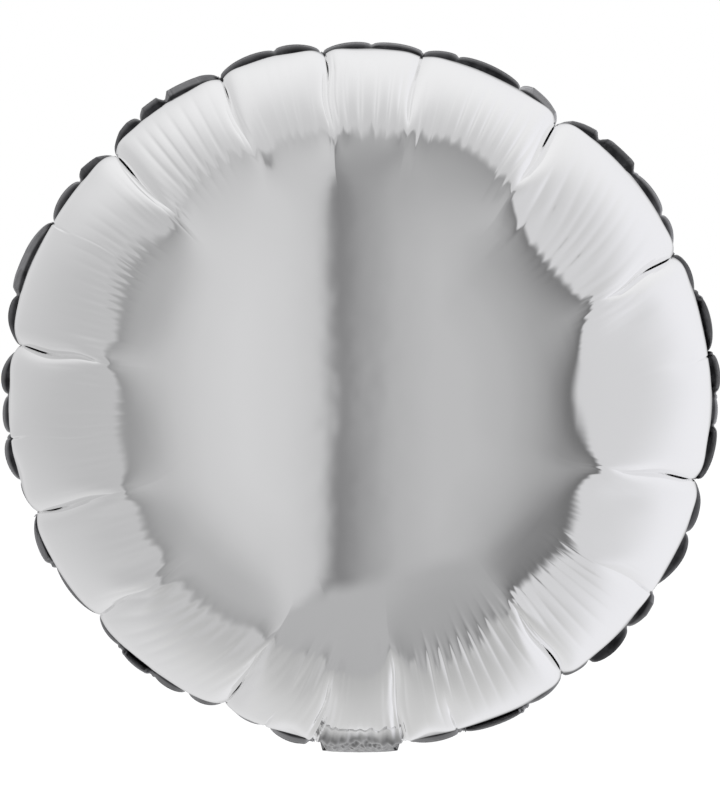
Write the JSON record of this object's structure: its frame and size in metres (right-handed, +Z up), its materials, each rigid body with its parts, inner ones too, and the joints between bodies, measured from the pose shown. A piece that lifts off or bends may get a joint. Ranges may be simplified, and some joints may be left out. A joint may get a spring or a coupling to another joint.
{
  "type": "round foil balloon",
  "caption": "Inflated round foil balloon with creased, puffed lobes round a welded margin and a folded filling tail behind.",
  "frame": {"origin": "centre of the envelope, halfway between the front and back crowns, where the air carries the balloon", "axes": "+Z up with the neck at the bottom, -Y out of the front crown, +X to the right seen from the front"},
  "size_m": [0.3521, 0.2046, 0.3551],
  "materials": {
    "metallised_film": "mirror-bright metallised film",
    "welded_margin": "crimped, duller heat-welded film",
    "valve_film": "clear soft film"
  },
  "bodies": {
    "envelope": {"front_panel": "metallised_film", "back_panel": "metallised_film", "seam_band": "welded_margin", "throat_front_film": "metallised_film", "throat_back_film": "metallised_film"},
    "tail": {"tail_outer_film": "metallised_film", "tail_inner_film": "metallised_film", "tail_seal_left": "welded_margin", "tail_seal_right": "welded_margin", "valve_outer_strip": "valve_film", "valve_inner_strip": "valve_film"}
  },
  "joints": [
    {"name": "tail_fold", "type": "hinge", "parent": "envelope", "child": "tail", "pos_m": [0, 0, -0.17751], "axis": [1, 0, 0], "range_deg": [-180, 0]}
  ]
}
